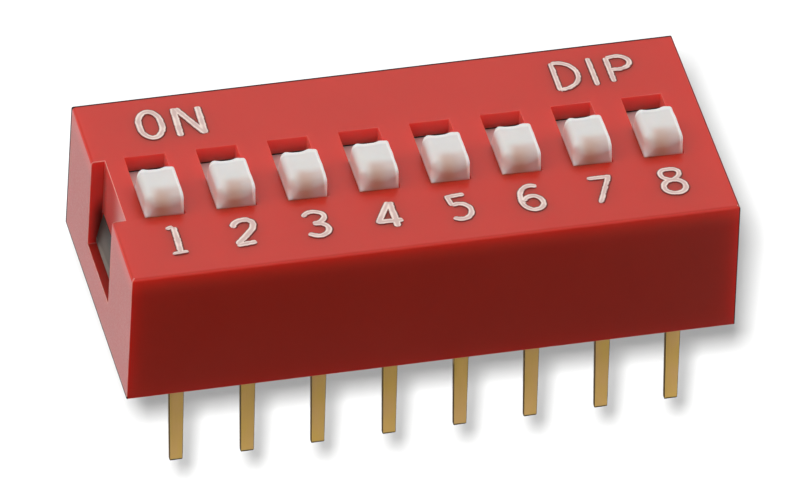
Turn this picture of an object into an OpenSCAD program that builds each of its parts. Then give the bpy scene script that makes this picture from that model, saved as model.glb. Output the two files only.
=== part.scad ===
// Slide switch bank in a dual in-line package: a cover clipped over a moulded base, with one
// sliding actuator, one spring contact and two terminals for each switch.
// Millimetres. +X runs along the bank from the first switch, +Y points to the ON side and +Z is up.
// The origin is at the centre of the seating plane, which is the cover's bottom rim.

/* [Switch bank] */
// Number of switches side by side
ways = 8; // [2:1:12]
// Distance between neighbouring switches
pitch = 2.54; // [2.3:0.01:3.2]
// Distance between the two rows of pins
row_spacing = 7.62; // [7.3:0.01:9.6]

/* [Cover] */
// Height of the top face above the rim
cover_h = 5.2; // [4.3:0.05:6.6]
// Rim past the centre line of the last switch
end_margin = 1.97; // [1.9:0.01:2.6]
// Rim past the centre line of a pin row
side_margin = 1.10; // [1.05:0.01:1.6]
// Thickness of the top wall
top_wall = 0.58; // [0.4:0.02:0.9]
// Thickness of the side walls at the rim
side_wall = 0.80; // [0.5:0.05:0.8]
// Thickness of the end walls at the rim
end_wall = 0.80; // [0.6:0.05:0.8]
// Inward lean of the outer faces, in degrees
draft = 0.7; // [0:0.1:1.5]
// Radius along the edges of the top face
edge_r = 0.12; // [0.05:0.01:0.3]
// Width of the slot over each switch
slot_w = 1.47; // [1.1:0.01:1.6]
// Length of the slot over each switch
slot_len = 3.30; // [2.7:0.05:4]

/* [Latches] */
// Width of the latch windows, and of the notch that marks the first switch
window_w = 3.30; // [2:0.1:4]
// Height of the window sills above the rim
window_sill = 1.55; // [1.2:0.05:2]
// Height of a window's opening
window_h = 1.35; // [1:0.05:1.7]
// Wall left behind the notch
notch_web = 0.26; // [0.2:0.02:0.4]
// Reach of a latch past the base's end face
latch_reach = 0.52; // [0.4:0.02:0.6]
// Height of the flat nose at a latch's tip
latch_nose = 0.18; // [0.1:0.02:0.3]

/* [Actuator] */
// Distance that a knob slides from off to on
travel = 1.49; // [1.2:0.01:1.8]
// Height of the knob above the cover
knob_h = 0.85; // [0.6:0.05:1.2]
// Distance that the knob's front face leans back over its height
front_lean = 0.12; // [0:0.01:0.3]
// Distance that the knob's rear face leans forward over its height
rear_lean = 0.05; // [0:0.01:0.3]
// Depth of the finger groove, along the top and down the front
groove_depth = 0.10; // [0.04:0.01:0.2]
// Width of the finger groove
groove_w = 1.00; // [0.6:0.02:1.1]
// Slider past the edge of the slot on each side
slider_lip = 0.15; // [0.1:0.01:0.25]
// Slider past the end of the slot when the knob is furthest from it
slider_cover = 0.10; // [0.05:0.01:0.3]
// Thickness of the slider above its spring pocket
slider_roof = 1.00; // [0.8:0.05:1.2]
// Thickness of the walls beside the spring pocket
pocket_wall = 0.20; // [0.15:0.01:0.3]

/* [Spring contact] */
// Thickness of the spring strip
strip_t = 0.12; // [0.08:0.01:0.15]
// Distance from the bank's middle line to the nearer foot, off and on alike
near_foot = 0.355; // [0.3:0.005:0.45]
// Radius of a foot, to the middle of the strip
foot_r = 0.24; // [0.15:0.01:0.3]
// Length of the flat that bears on the slider
land_len = 0.90; // [0.6:0.05:1.2]

/* [Base] */
// Height of the base's underside above the rim
base_recess = 0.20; // [0.1:0.05:0.4]
// Height of the cell floors above the rim
floor_h = 1.95; // [1.6:0.05:2.1]

/* [Terminals] */
// Thickness of the terminal strip
blade_t = 0.25; // [0.2:0.01:0.3]
// Width of a pad and of its bend
blade_w = 1.30; // [0.9:0.05:1.4]
// Inner radius of the bend
bend_r = 0.15; // [0.1:0.01:0.25]
// Width of a pin where it leaves the base
pin_root_w = 0.55; // [0.45:0.01:0.7]
// Width of a pin at its tip
pin_tip_w = 0.47; // [0.35:0.01:0.6]
// Length of a pin below the rim
pin_len = 4.0; // [2.5:0.1:4.5]
// Chamfer at the tip of a pin
tip_chamfer = 0.03; // [0.02:0.01:0.12]
// Bare floor between a front and a rear pad
pad_gap = 0.80; // [0.6:0.05:1]

/* [Clearances] */
// Between the base and the inside of the cover
base_gap = 0.03; // [0.01:0.01:0.1]
// Between the slider and its cell, on each side
slider_gap = 0.05; // [0.02:0.01:0.1]
// Between the slider and the end of its cell, at each end of its travel
cell_gap = 0.29; // [0.1:0.01:0.3]
// Between the slider and the cover above it
lid_gap = 0.04; // [0.02:0.01:0.1]
// Between the slider's skirt and the cell floor
skirt_gap = 0.10; // [0.05:0.01:0.2]
// Between the knob and the sides of its slot
knob_gap = 0.05; // [0.02:0.01:0.1]
// Between the knob and the end of its slot
stop_gap = 0.03; // [0.01:0.01:0.1]
// Between a latch and its window
latch_gap = 0.05; // [0.02:0.01:0.1]
// Between the spring strip and the sides of its pocket
strip_gap = 0.05; // [0.02:0.01:0.1]
// Between a foot and the pad under it
foot_gap = 0.02; // [0.01:0.01:0.05]

/* [Hidden] */

$fn = 48;
arc_steps = 6;   // straight steps in a small rounded edge
past = 1;        // how far a cutting shape runs past the face that it cuts
sunk = 0.2;      // how far a raised shape is rooted in the block that carries it

// Cover
rim_x = (ways - 1) * pitch / 2 + end_margin;
rim_y = row_spacing / 2 + side_margin;
ceiling = cover_h - top_wall;
inner_x = rim_x - end_wall;
inner_y = rim_y - side_wall;

// Base
base_x = inner_x - base_gap;
base_y = inner_y - base_gap;

// Actuator
knob_w = slot_w - 2 * knob_gap;
knob_len = slot_len - travel - 2 * stop_gap;
rest_y = -travel / 2;
slider_w = slot_w + 2 * slider_lip;
slider_len = slot_len + travel + 2 * slider_cover;
cell_w = slider_w + 2 * slider_gap;
cell_y = (slider_len + travel) / 2 + cell_gap;
slider_top = ceiling - lid_gap;
skirt_z = floor_h + skirt_gap;
pocket_z = slider_top - slider_roof;
pocket_w = slider_w - 2 * pocket_wall;
foot_at = travel / 2 + near_foot;
tail_y = foot_at + foot_r + strip_t;
pocket_len = 2 * (tail_y + strip_gap);
strip_w = pocket_w - 2 * strip_gap;
groove_r = (groove_w * groove_w / 4 + groove_depth * groove_depth) / (2 * groove_depth);

// Terminals. The bare floor between two pads is centred under the rear foot of a switch that is off
pin_y = row_spacing / 2;
bare_y = near_foot;
pad_z = floor_h - blade_t;
shoulder_z = base_recess + 0.5;
shoulder_drop = 0.3;

function switch_x(n) = (n - (ways + 1) / 2) * pitch;

// Points of a rounded corner about centre c, from angle a to angle b
function corner_arc(c, r, a, b) =
    [for (k = [0:arc_steps]) c + r * [cos(a + (b - a) * k / arc_steps), sin(a + (b - a) * k / arc_steps)]];

// Outline of a wall-to-wall section, with leaning sides and rounded top corners
function drafted_section(half, h, r) =
    let (corner_x = half - (h - r) * tan(draft) - r / cos(draft))
    concat(
        [[-half, 0], [half, 0]],
        corner_arc([corner_x, h - r], r, draft, 90),
        corner_arc([-corner_x, h - r], r, 90, 180 - draft)
    );

// Unit normal to the left of the way from p to q
function left_normal(p, q) = [p.y - q.y, q.x - p.x] / norm(q - p);

// Outline of a strip of thickness t along a path, mitred at each point
function strip_outline(path, t) =
    let (
        last = len(path) - 1,
        offsets = [for (k = [0:last])
            let (
                before = left_normal(path[max(k - 1, 0)], path[max(k, 1)]),
                after = left_normal(path[min(k, last - 1)], path[min(k + 1, last)])
            )
            (before + after) / (1 + before * after) * t / 2]
    )
    concat(
        [for (k = [0:last]) path[k] + offsets[k]],
        [for (k = [last:-1:0]) path[k] - offsets[k]]
    );

// Extrudes a (y, z) outline along X, centred on x = 0
module along_x(width) {
    rotate([90, 0, 90]) translate([0, 0, -width / 2]) linear_extrude(width) children();
}

// Extrudes an (x, z) outline along Y, centred on y = 0
module along_y(width) {
    rotate([90, 0, 0]) translate([0, 0, -width / 2]) linear_extrude(width) children();
}

// Box from z = low to z = high, centred in x and y
module block(x, y, low, high) {
    translate([-x / 2, -y / 2, low]) cube([x, y, high - low]);
}

module at_switch(n) {
    translate([switch_x(n), 0, 0]) children();
}

// Moulded cover, open below, with a slot over each switch and a latch window in each end
module cover() {
    color("firebrick") difference() {
        intersection() {
            along_x(2 * rim_x) polygon(drafted_section(rim_y, cover_h, edge_r));
            along_y(2 * rim_y) polygon(drafted_section(rim_x, cover_h, edge_r));
        }
        block(2 * inner_x, 2 * inner_y, -past, ceiling);
        for (n = [1:ways]) at_switch(n) block(slot_w, slot_len, ceiling - past, cover_h + past);
        block(2 * rim_x + past, window_w, window_sill, window_sill + window_h);
        notch();
    }
}

// Recess down the first end, open at the top
module notch() {
    depth = rim_x - inner_x - notch_web;
    translate([-inner_x - notch_web - (depth + past) / 2, 0, 0])
        block(depth + past, window_w, window_sill, cover_h + past);
}

// Moulded base: a floor with a cell for each switch and a latch on each end
module base() {
    color("dimgray") difference() {
        union() {
            block(2 * base_x, 2 * base_y, base_recess, ceiling);
            latch();
            mirror([1, 0, 0]) latch();
        }
        for (n = [1:ways]) at_switch(n) {
            block(cell_w, 2 * cell_y, floor_h, ceiling + past);
            terminal_blank();
            mirror([0, 1, 0]) terminal_blank(rear = true);
        }
    }
}

// Latch on the +X end: flat below, so that it holds down the sill, and sloped above
module latch() {
    low = window_sill + latch_gap;
    high = window_sill + window_h - latch_gap;
    along_y(window_w - 2 * latch_gap)
        polygon([
            [base_x - sunk, low],
            [base_x + latch_reach, low],
            [base_x + latch_reach, low + latch_nose],
            [base_x + base_gap + notch_web, high],
            [base_x - sunk, high]
        ]);
}

// Sliding actuator, drawn in the off position
module actuator(n) {
    color("whitesmoke") at_switch(n) translate([0, rest_y, 0]) difference() {
        union() {
            block(slider_w, slider_len, skirt_z, slider_top);
            knob();
        }
        block(pocket_w, pocket_len, skirt_z - past, pocket_z);
    }
}

// Knob with leaning ends and a finger groove along its top and down its front
module knob() {
    top = cover_h + knob_h;
    difference() {
        along_x(knob_w) polygon([
            [-knob_len / 2, slider_top - sunk],
            [knob_len / 2, slider_top - sunk],
            [knob_len / 2, cover_h],
            [knob_len / 2 - rear_lean, top],
            [front_lean - knob_len / 2, top],
            [-knob_len / 2, cover_h]
        ]);
        translate([0, 0, top - groove_depth + groove_r]) rotate([90, 0, 0])
            cylinder(r = groove_r, h = knob_len + past, center = true);
        translate([0, -knob_len / 2, cover_h]) rotate([-atan(front_lean / knob_h), 0, 0])
            translate([0, groove_depth - groove_r, 0]) cylinder(r = groove_r, h = knob_h + past);
    }
}

// Spring strip: a flat land under the slider, two sloped legs and two rounded feet
module spring_contact(n) {
    foot_z = floor_h + foot_gap + strip_t / 2 + foot_r;
    half = concat(
        [[land_len / 2, pocket_z - strip_t / 2]],
        corner_arc([foot_at, foot_z], foot_r, 210, 330)
    );
    path = concat([for (k = [len(half) - 1:-1:0]) [-half[k].x, half[k].y]], half);
    color("goldenrod") at_switch(n) translate([0, rest_y, 0])
        along_x(strip_w) polygon(strip_outline(path, strip_t));
}

// Terminal on the -Y side: pad, bend and pin, cut from one strip
module terminal_blank(rear = false) {
    pad_end = rear ? -bare_y - pad_gap / 2 : bare_y - pad_gap / 2;
    intersection() {
        along_x(blade_w) terminal_side(pad_end);
        along_y(row_spacing + 4 * blade_t) terminal_front();
    }
}

// Side view of a terminal: the pad along y and the pin down, joined by a quarter bend
module terminal_side(pad_end) {
    outer_r = bend_r + blade_t;
    bend_y = -pin_y + blade_t / 2 + bend_r;
    bend_z = pad_z - bend_r;
    translate([bend_y, pad_z]) square([pad_end - bend_y, blade_t]);
    translate([-pin_y - blade_t / 2, -pin_len]) square([blade_t, bend_z + pin_len]);
    intersection() {
        translate([bend_y, bend_z]) difference() {
            circle(outer_r);
            circle(bend_r);
        }
        translate([bend_y - outer_r, bend_z]) square(outer_r);
    }
}

// Front view of a terminal: wide to its shoulders, then a slightly tapered pin
module terminal_front() {
    half = [
        [blade_w / 2, floor_h],
        [blade_w / 2, shoulder_z],
        [pin_root_w / 2, shoulder_z - shoulder_drop],
        [pin_tip_w / 2, tip_chamfer - pin_len],
        [pin_tip_w / 2 - tip_chamfer, -pin_len]
    ];
    polygon(concat(half, [for (k = [len(half) - 1:-1:0]) [-half[k].x, half[k].y]]));
}

module front_terminal(n) {
    color("gold") at_switch(n) terminal_blank();
}

module rear_terminal(n) {
    color("gold") at_switch(n) mirror([0, 1, 0]) terminal_blank(rear = true);
}

cover();
base();
for (n = [1:ways]) {
    actuator(n);
    spring_contact(n);
    front_terminal(n);
    rear_terminal(n);
}
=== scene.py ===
import math

import bmesh
import bpy
import numpy as np
from mathutils import Matrix, Vector


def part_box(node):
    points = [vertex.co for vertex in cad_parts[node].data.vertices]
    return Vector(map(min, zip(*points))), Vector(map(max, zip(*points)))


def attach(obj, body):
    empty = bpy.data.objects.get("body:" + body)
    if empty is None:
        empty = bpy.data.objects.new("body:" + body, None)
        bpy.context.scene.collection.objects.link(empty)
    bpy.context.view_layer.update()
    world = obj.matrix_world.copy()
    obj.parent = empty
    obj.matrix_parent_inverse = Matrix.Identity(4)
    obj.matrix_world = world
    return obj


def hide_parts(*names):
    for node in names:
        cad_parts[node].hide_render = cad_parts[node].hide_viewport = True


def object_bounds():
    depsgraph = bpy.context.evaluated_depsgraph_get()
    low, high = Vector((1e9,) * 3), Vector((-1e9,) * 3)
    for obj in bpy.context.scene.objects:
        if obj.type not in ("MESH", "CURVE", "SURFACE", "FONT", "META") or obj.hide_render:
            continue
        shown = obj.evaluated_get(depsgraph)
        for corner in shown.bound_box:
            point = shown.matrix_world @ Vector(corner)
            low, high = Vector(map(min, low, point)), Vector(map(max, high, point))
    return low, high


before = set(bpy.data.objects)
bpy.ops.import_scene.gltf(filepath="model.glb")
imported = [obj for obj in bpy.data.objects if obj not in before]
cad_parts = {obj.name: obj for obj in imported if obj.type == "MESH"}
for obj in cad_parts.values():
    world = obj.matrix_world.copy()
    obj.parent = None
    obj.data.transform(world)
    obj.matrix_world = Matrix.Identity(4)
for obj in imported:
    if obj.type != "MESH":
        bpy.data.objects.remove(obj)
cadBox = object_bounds()
mm = 0.001
print("frame loaded,", len(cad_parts), "nodes")

# sizes that the frame gives
coverLow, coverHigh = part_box("cover")
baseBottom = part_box("base")[0][2]
ways = sum(name.startswith("actuator_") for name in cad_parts)
switchX = [sum(corner[0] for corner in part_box(f"actuator_{n}")) / 2 for n in range(1, ways + 1)]
pitch = switchX[1] - switchX[0]
coverTop = coverHigh[2]
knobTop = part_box("actuator_1")[1][2]
floorZ = cadBox[0][2]

# how the meshes are cleaned and shaded
hair = 0.01 * mm           # points this close to a level count as on it
doubles = 0.0001 * mm      # points this close are one
flatWithin = 0.2           # degrees: faces this level with each other become one
bevelFrom = 30             # degrees: sharper edges are rounded
creaseFrom = 50            # degrees: sharper edges stay hard when shaded


def fill(tree, node, inputs):
    # gives each input a link, where its value is a socket, or else the plain value
    for key, value in inputs.items():
        if isinstance(value, bpy.types.NodeSocket):
            tree.links.new(value, node.inputs[key])
        else:
            node.inputs[key].default_value = value


def addNode(tree, kind, inputs=None, **settings):
    made = tree.nodes.new(kind)
    for name, value in settings.items():
        setattr(made, name, value)
    fill(tree, made, inputs or {})
    return made


def geo(tree, kind, inputs=None, output=0, **settings):
    # a Geometry Nodes node; returns one output
    return addNode(tree, "GeometryNode" + kind, inputs, **settings).outputs[output]


def calc(tree, operation, first, second=0.0, clamp=False):
    made = addNode(tree, "ShaderNodeMath", {0: first, 1: second}, operation=operation, use_clamp=clamp)
    return made.outputs[0]


def less(tree, first, second):
    return calc(tree, "SUBTRACT", first, second)


def product(tree, *factors):
    result = factors[0]
    for factor in factors[1:]:
        result = calc(tree, "MULTIPLY", result, factor)
    return result


def vectorCalc(tree, operation, first, second):
    second = {"Scale" if operation == "SCALE" else 1: second}
    return addNode(tree, "ShaderNodeVectorMath", {0: first, **second}, operation=operation).outputs[0]


def axes(tree, vector):
    return addNode(tree, "ShaderNodeSeparateXYZ", {0: vector}).outputs


def combine(tree, *values):
    return addNode(tree, "ShaderNodeCombineXYZ", dict(enumerate(values))).outputs[0]


def ramp(tree, value, start, end, low=0.0, high=1.0, smooth=False):
    # runs from low to high while the value goes from start to end
    return addNode(tree, "ShaderNodeMapRange", {
        "Value": value, "From Min": start, "From Max": end, "To Min": low, "To Max": high,
    }, interpolation_type="SMOOTHSTEP" if smooth else "LINEAR").outputs[0]


def spread(tree, texture, low=0.0, high=1.0):
    # a noise keeps mostly between 0.3 and 0.7
    return ramp(tree, texture, 0.3, 0.7, low, high)


def noise(tree, place, size, detail, seed=None):
    # noise with features of the given size; a seed picks its slice of the fourth dimension
    inputs = {"Vector": place, "Scale": calc(tree, "DIVIDE", 1.0, size), "Detail": detail}
    if seed is None:
        return addNode(tree, "ShaderNodeTexNoise", inputs).outputs
    return addNode(tree, "ShaderNodeTexNoise", {**inputs, "W": seed}, noise_dimensions="4D").outputs


def bump(tree, height, depth, normal=None):
    inputs = {"Height": height, "Distance": depth}
    if normal is not None:
        inputs["Normal"] = normal
    return addNode(tree, "ShaderNodeBump", inputs).outputs[0]


def blendColor(tree, factor, first, second):
    return addNode(tree, "ShaderNodeMix", {0: factor, 6: first, 7: second}, data_type="RGBA").outputs[2]


def coats(tree, color, *layers):
    # the color with other ones over it, each given as (mask, color)
    for mask, tone in layers:
        color = blendColor(tree, mask, color, tone)
    return color


def readMask(tree, name):
    return addNode(tree, "ShaderNodeAttribute", attribute_name=name).outputs["Fac"]


# socket types by label, or else by the type of the default value
socketTypes = {
    "Geometry": "NodeSocketGeometry", "Material": "NodeSocketMaterial", "Vector": "NodeSocketVector",
    "Normal": "NodeSocketVector", tuple: "NodeSocketVector", float: "NodeSocketFloat", int: "NodeSocketInt",
}


def newGroup(name, kind, ins, outs):
    # ins gives each input's default value, outs lists the outputs
    tree = bpy.data.node_groups.new(name, kind)
    for label, value in ins.items():
        made = tree.interface.new_socket(
            name=label, in_out="INPUT", socket_type=socketTypes.get(label) or socketTypes[type(value)])
        if value is not None:
            made.default_value = value
    for label in outs:
        tree.interface.new_socket(
            name=label, in_out="OUTPUT", socket_type=socketTypes.get(label, "NodeSocketFloat"))
    source = tree.nodes.new("NodeGroupInput")
    sink = tree.nodes.new("NodeGroupOutput")
    return tree, source.outputs, sink


def endTree(tree, sink, geometry, material):
    # every tree ends in real geometry with its material set
    real = geo(tree, "RealizeInstances", {"Geometry": geometry})
    fill(tree, sink, {0: geo(tree, "SetMaterial", {"Geometry": real, "Material": material})})
    return tree


def newObject(name, data):
    made = bpy.data.objects.new(name, data)
    bpy.context.collection.objects.link(made)
    return made


def meshObject(bm, name):
    mesh = bpy.data.meshes.new(name)
    bm.to_mesh(mesh)
    bm.free()
    return newObject(name, mesh)


def bake(obj, name):
    # the evaluated object as one plain mesh; the object it came from goes
    depsgraph = bpy.context.evaluated_depsgraph_get()
    mesh = bpy.data.meshes.new_from_object(obj.evaluated_get(depsgraph), depsgraph=depsgraph)
    bpy.data.objects.remove(obj)
    mesh.name = name
    return newObject(name, mesh)


def runTree(obj, tree, name, values):
    modifier = obj.modifiers.new(tree.name, "NODES")
    modifier.node_group = tree
    for item in tree.interface.items_tree:
        if item.item_type == "SOCKET" and item.in_out == "INPUT" and item.name in values:
            modifier[item.identifier] = values[item.name]
    obj.update_tag()
    return bake(obj, name)


def readItems(items, name, width=1, kind=np.float32):
    # one property of all faces or points: an array, or one array for each of its axes
    values = np.zeros(len(items) * width, dtype=kind)
    items.foreach_get(name, values)
    return values if width == 1 else values.reshape(-1, width).T


def writeMask(mesh, name, mask, domain="FACE"):
    found = mesh.attributes.get(name) or mesh.attributes.new(name, "FLOAT", domain)
    found.data.foreach_set("value", mask.astype(np.float32))


def mergedCopy(node):
    # a CAD node's mesh as a clean bmesh: doubles merged and flat faces joined
    bm = bmesh.new()
    bm.from_mesh(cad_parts[node].data)
    bmesh.ops.remove_doubles(bm, verts=bm.verts, dist=doubles)
    joinFlat(bm)
    return bm


def joinFlat(bm):
    bmesh.ops.dissolve_limit(bm, angle_limit=math.radians(flatWithin), verts=bm.verts, edges=bm.edges)


def bevelEdges(bm, edges, width, segments):
    # the new faces get material 1, which finishMesh turns into a mask
    bmesh.ops.bevel(bm, geom=edges, offset=width, segments=segments, profile=0.5,
                    affect="EDGES", clamp_overlap=True, material=1)


def roundEdges(bm, width, segments, keep=lambda edge: False):
    # bevels every sharp edge but those to keep
    angle = math.radians(bevelFrom)
    sharp = [e for e in bm.edges if e.is_manifold and e.calc_face_angle(0) > angle and not keep(e)]
    bevelEdges(bm, sharp, width, segments)


def smoothShade(obj, angle, name):
    # smooth shading that keeps the flat faces flat
    mesh = obj.data
    mesh.polygons.foreach_set("use_smooth", np.ones(len(mesh.polygons), dtype=bool))
    mesh.set_sharp_from_angle(angle=math.radians(angle))
    weighted = obj.modifiers.new("flat faces", "WEIGHTED_NORMAL")
    weighted.keep_sharp = True
    return bake(obj, name)


def finishMesh(bm, name):
    # shaded smooth, with an "edge" mask on the rounded edges
    made = meshObject(bm, name)
    faces = made.data.polygons
    writeMask(made.data, "edge", readItems(faces, "material_index", kind=np.int32) == 1)
    faces.foreach_set("material_index", np.zeros(len(faces), dtype=np.int32))
    return smoothShade(made, creaseFrom, name)


def buildGrainGroup():
    # moulded surface: fine grain, slow waviness and a slight drift of tone
    tree, given, sink = newGroup("mouldedGrain", "ShaderNodeTree", {
        "Vector": None, "Grain Size": 0.05 * mm, "Grain Depth": 0.0005 * mm,
        "Wave Size": 3 * mm, "Wave Depth": 0.004 * mm}, ["Tone", "Grain", "Normal"])
    grain = noise(tree, given["Vector"], given["Grain Size"], 3.0)["Fac"]
    wave = noise(tree, given["Vector"], given["Wave Size"], 1.5)["Fac"]
    wavy = bump(tree, wave, given["Wave Depth"])
    grainy = bump(tree, grain, given["Grain Depth"], wavy)
    fill(tree, sink, {"Tone": wave, "Grain": grain, "Normal": grainy})
    return tree


def buildWearGroup():
    # a mask on the rounded edges, broken up by noise: the materials paint wear and painted highlights on
    # it, and on the pins painted shade
    tree, given, sink = newGroup("edgeWearAndShading", "ShaderNodeTree", {
        "Vector": None, "Patch Size": 0.4 * mm, "Patch From": 0.35, "Amount": 0.5}, ["Mask"])
    patches = noise(tree, given["Vector"], given["Patch Size"], 2.0)["Fac"]
    shown = ramp(tree, patches, given["Patch From"], calc(tree, "ADD", given["Patch From"], 0.3))
    fill(tree, sink, {"Mask": product(tree, readMask(tree, "edge"), shown, given["Amount"])})
    return tree


def buildDustGroup():
    # a few small specks of dust
    tree, given, sink = newGroup("dustSpecks", "ShaderNodeTree", {
        "Vector": None, "Spacing": 1.5 * mm, "Speck Size": 0.06, "Share": 0.3}, ["Mask"])
    scale = calc(tree, "DIVIDE", 1.0, given["Spacing"])
    cells = addNode(tree, "ShaderNodeTexVoronoi", {"Vector": given["Vector"], "Scale": scale}).outputs
    ragged = noise(tree, given["Vector"], calc(tree, "DIVIDE", given["Spacing"], 9.0), 2.0)["Fac"]
    near = calc(tree, "LESS_THAN", cells["Distance"], product(tree, given["Speck Size"], ragged, 2.0))
    pick = addNode(tree, "ShaderNodeSeparateColor", {0: cells["Color"]}).outputs[0]
    fill(tree, sink, {"Mask": product(tree, near, calc(tree, "LESS_THAN", pick, given["Share"]))})
    return tree


def buildBrushGroup():
    # drawn metal: fine lines along Z, and slow mottling
    tree, given, sink = newGroup("drawnLines", "ShaderNodeTree", {
        "Vector": None, "Line Size": 0.03 * mm, "Line Depth": 0.001 * mm, "Mottle Size": 0.5 * mm,
    }, ["Lines", "Mottle", "Normal"])
    textures = []
    for label, squeeze, detail in (("Line Size", 0.03, 3.0), ("Mottle Size", 0.4, 2.0)):
        drawn = vectorCalc(tree, "MULTIPLY", given["Vector"], (1.0, 1.0, squeeze))
        textures.append(noise(tree, drawn, given[label], detail)["Fac"])
    lines, mottle = textures
    fill(tree, sink, {"Lines": lines, "Mottle": mottle, "Normal": bump(tree, lines, given["Line Depth"])})
    return tree


groups = {"grain": buildGrainGroup(), "wearAndShading": buildWearGroup(), "specks": buildDustGroup(),
          "drawn": buildBrushGroup()}


def newMaterial(name, look):
    # also returns the outputs of each group that the look gives sizes for
    material = bpy.data.materials.new(name)
    material.use_nodes = True
    tree = material.node_tree
    place = addNode(tree, "ShaderNodeTexCoord").outputs["Object"]
    used = [addNode(tree, "ShaderNodeGroup", {"Vector": place, **look[key]}, node_tree=group).outputs
            for key, group in groups.items() if key in look]
    return material, tree, tree.nodes["Principled BSDF"], place, *used


coverLook = {
    "red": (0.68, 0.030, 0.013, 1), "deep": (0.63, 0.025, 0.010, 1), "wearAndHighlight": (0.90, 0.38, 0.33, 1),
    # painted light: the paler red of the walls in the slots and notches
    "inside": (0.83, 0.102, 0.082, 1), "sill": (0.33, 0.020, 0.012, 1), "dust": (0.86, 0.50, 0.45, 1),
    "line": (0.15, 0.012, 0.010, 1), "band": (1.0, 0.075, 0.040, 1), "corner": (0.16, 0.010, 0.007, 1),
    "shadedHollow": (0.74, 0.028, 0.018, 1), "roughness": (0.28, 0.38), "specular": 0.25, "glow": 1.0,
    "grain": {"Grain Size": 0.06 * mm, "Grain Depth": 0.0006 * mm, "Wave Size": 2.5 * mm,
              "Wave Depth": 0.006 * mm},
    "wearAndShading": {"Patch Size": 0.5 * mm, "Patch From": 0.14, "Amount": 0.75},
    "specks": {"Spacing": 1.6 * mm, "Speck Size": 0.035, "Share": 0.2},
    "bandDepth": 0.9 * mm,
    "bandShare": 0.45,
    "notchDepth": 0.60 * mm,     # how far in from an end its notch reaches
    "webDepth": 0.50 * mm,       # from here on it is the web beside the first slot
    "notchRear": 1.65 * mm,
    "cornerRadius": 0.55 * mm,
    "cornerShade": {"height": (3.9 * mm, 2.8 * mm), "depth": (0.05 * mm, 0.5 * mm)},
    "matt": {"along": (-1.1 * mm, 0.5 * mm), "color": 0.85, "roughness": 0.5},
    # a line lies on two faces that meet: how many millimetres it reaches from the edge on either
    "lines": [{"right": 0.070, "top": 0.045}, {"rear": 0.15, "top": 0.045}, {"left": 0.045, "rear": 0.15},
              {"left": 0.045, "bottom": 0.020}, {"right": 0.045, "front": 0.045}],
    "draft": 0.065 * mm,         # how far each side leans in from the lower rim up to the top
}


def coverMaterial():
    look = coverLook
    material, tree, shader, place, grain, wearAndShading, dust = newMaterial("redCoverPlastic", look)
    # painted light: the walls of the slots and notches are painted a paler red
    inside = readMask(tree, "inside")
    acrossX, along, height = axes(tree, place)
    onTop = calc(tree, "GREATER_THAN", height, coverTop - 3 * hair)
    # a brighter band under the top rim, where light comes through the plastic
    outside = less(tree, 1.0, calc(tree, "MAXIMUM", onTop, inside))
    band = ramp(tree, height, coverTop - look["bandDepth"], coverTop, high=look["bandShare"], smooth=True)
    # painted shade: the notches are painted darker into their lower corner, and the rear of their web a
    # deeper red, which is also made matt
    end = calc(tree, "ABSOLUTE", acrossX)
    notch = product(tree, inside, calc(tree, "GREATER_THAN", end, coverHigh[0] - look["notchDepth"]))
    deep = ramp(tree, height, *look["cornerShade"]["height"], smooth=True)
    near = ramp(tree, end, *(coverHigh[0] - depth for depth in look["cornerShade"]["depth"]))
    web = calc(tree, "LESS_THAN", end, coverHigh[0] - look["webDepth"])
    matt = product(tree, ramp(tree, along, *look["matt"]["along"], smooth=True), notch, web)
    color = coats(
        tree, look["red"], (grain["Tone"], look["deep"]), (inside, look["inside"]),
        # painted shade on the low sills under the notches
        (readMask(tree, "sill"), look["sill"]), (product(tree, band, outside), look["band"]),
        (product(tree, deep, near, notch), look["corner"]),
        # the pale edges: wear with a painted highlight
        (product(tree, matt, look["matt"]["color"]), look["shadedHollow"]), (wearAndShading["Mask"], look["wearAndHighlight"]),
        (product(tree, dust["Mask"], onTop), look["dust"]))
    # thin dark lines along some outer edges
    leanIn = product(tree, height, look["draft"] / coverTop)
    gaps = {"top": less(tree, coverTop, height), "bottom": height}
    sides = {("left", "right"): (acrossX, coverHigh[0]), ("front", "rear"): (along, coverHigh[1])}
    for (low, high), (spot, half) in sides.items():
        side = less(tree, half, leanIn)
        gaps[low] = calc(tree, "ADD", side, spot)
        gaps[high] = less(tree, side, spot)
    closest = 2.0
    for reaches in look["lines"]:
        first, second = (calc(tree, "DIVIDE", gaps[side], reach * mm) for side, reach in reaches.items())
        closest = calc(tree, "MINIMUM", closest, calc(tree, "MAXIMUM", first, second))
    line = ramp(tree, closest, 1.0, 0.8)
    # the notch's rear corner is a soft hollow: its rounding is bumped onto the flat web
    radius = look["cornerRadius"]
    short = calc(tree, "ADD", along, radius - look["notchRear"])
    short = calc(tree, "MINIMUM", calc(tree, "MAXIMUM", short, 0.0), 0.93 * radius)
    rest = less(tree, radius * radius, product(tree, short, short))
    raised = product(tree, less(tree, radius, calc(tree, "SQRT", rest)), notch)
    rough = spread(tree, grain["Grain"], *look["roughness"])
    # a dark film over the lines too, since light that spreads inside the plastic would hide them
    fill(tree, shader, {
        "Base Color": blendColor(tree, line, color, look["line"]),
        "Roughness": calc(tree, "ADD", rough, product(tree, matt, look["matt"]["roughness"])),
        "Normal": bump(tree, raised, 1.0, grain["Normal"]), "Specular IOR Level": look["specular"],
        "Coat Weight": line, "Coat Tint": look["line"], "Coat Roughness": 0.6, "Coat IOR": 1.1,
        "Subsurface Weight": look["glow"], "Subsurface Radius": (1.0, 0.12, 0.08),
        "Subsurface Scale": 1.3 * mm})
    return material


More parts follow.
